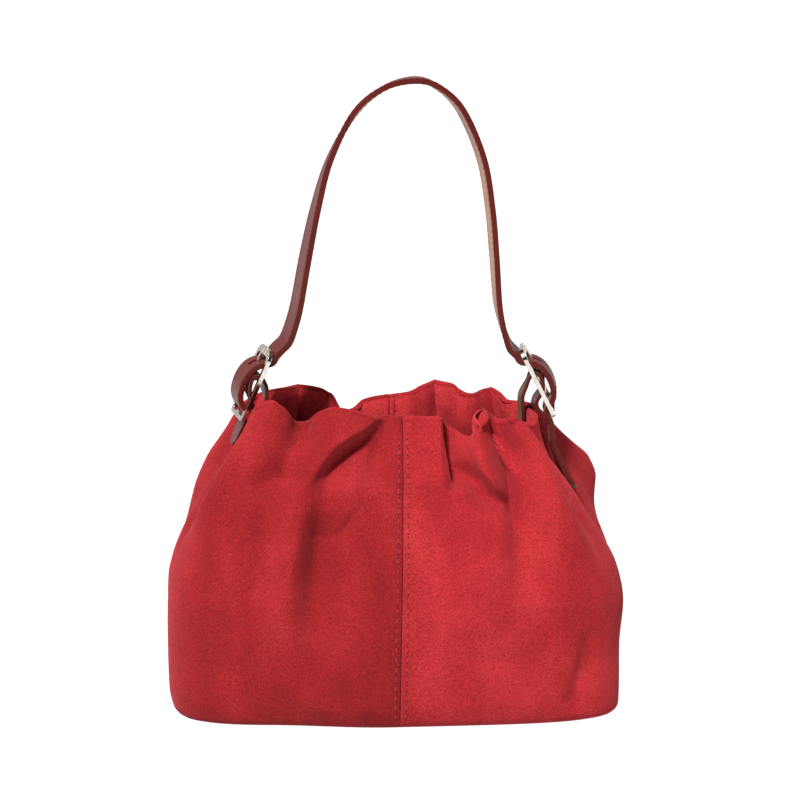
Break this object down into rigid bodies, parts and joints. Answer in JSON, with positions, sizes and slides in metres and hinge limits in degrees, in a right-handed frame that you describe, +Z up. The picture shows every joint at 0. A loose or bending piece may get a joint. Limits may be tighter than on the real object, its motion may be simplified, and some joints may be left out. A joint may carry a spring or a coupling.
{
  "type": "bucket bag",
  "caption": "Small gathered suede bucket bag with an open mouth and a leather shoulder strap held by two centre-bar buckles on riveted tabs.",
  "frame": {"origin": "middle of the base, on the surface that the bag stands on", "axes": "+Z up, +X across the width towards the end with the long strap tail, +Y towards the back"},
  "size_m": [0.264, 0.126, 0.3636],
  "materials": {
    "suede": "napped suede",
    "suede_facing": "napped suede, reverse of the hem",
    "stiffener": "board",
    "lining": "plain woven",
    "elastic": "ribbed elastic",
    "snap_metal": "satin",
    "tab_leather": "semi-gloss, painted edges",
    "strap_leather": "semi-gloss, painted edges",
    "strap_backing": "natural, low sheen",
    "nickel": "satin and polished nickel"
  },
  "bodies": {
    "bag": {"left_body_panel": "suede", "right_body_panel": "suede", "base_panel": "suede", "base_board": "stiffener", "lining_wall": "lining", "lining_base": "lining", "left_hem_facing": "suede_facing", "right_hem_facing": "suede_facing", "mouth_elastic": "elastic", "snap_socket": "snap_metal", "snap_stud": "snap_metal", "snap_socket_washer": "snap_metal", "snap_stud_washer": "snap_metal"},
    "handle": {"left_tab": "tab_leather", "right_tab": "tab_leather", "left_rivet_post": "nickel", "right_rivet_post": "nickel", "left_rivet_cap": "nickel", "right_rivet_cap": "nickel", "strap_outer": "strap_leather", "strap_backing": "strap_backing"},
    "strap_tail": {"tail_outer": "strap_leather", "tail_backing": "strap_backing"},
    "left_buckle": {"left_buckle_frame": "nickel", "left_buckle_bar": "nickel"},
    "right_buckle": {"right_buckle_frame": "nickel", "right_buckle_bar": "nickel"},
    "left_tongue": {"left_prong": "nickel"},
    "right_tongue": {"right_prong": "nickel"}
  },
  "joints": [
    {"name": "handle_swing", "type": "hinge", "parent": "bag", "child": "handle", "pos_m": [0, 0, 0.16], "axis": [1, 0, 0], "range_deg": [-28, 28]},
    {"name": "strap_tail_hang", "type": "hinge", "parent": "handle", "child": "strap_tail", "pos_m": [0.0915, 0, 0.16], "axis": [1, 0, 0], "range_deg": [-28, 28]},
    {"name": "left_buckle_rock", "type": "hinge", "parent": "handle", "child": "left_buckle", "pos_m": [-0.0799, 0, 0.1935], "axis": [-0.1899, 0.9781, 0.0846], "range_deg": [-0.75, 0.75]},
    {"name": "right_buckle_rock", "type": "hinge", "parent": "handle", "child": "right_buckle", "pos_m": [0.0818, 0, 0.193], "axis": [0.1394, 0.9877, 0.071], "range_deg": [-0.75, 0.75]},
    {"name": "left_prong_lift", "type": "hinge", "parent": "left_buckle", "child": "left_tongue", "pos_m": [-0.0799, 0, 0.1935], "axis": [0.1899, -0.9781, -0.0846], "range_deg": [0, 6]},
    {"name": "right_prong_lift", "type": "hinge", "parent": "right_buckle", "child": "right_tongue", "pos_m": [0.0818, 0, 0.193], "axis": [0.1394, 0.9877, 0.071], "range_deg": [0, 6]}
  ],
  "couplings": [
    {"joint": "strap_tail_hang", "follows": "handle_swing", "ratio": -1}
  ]
}
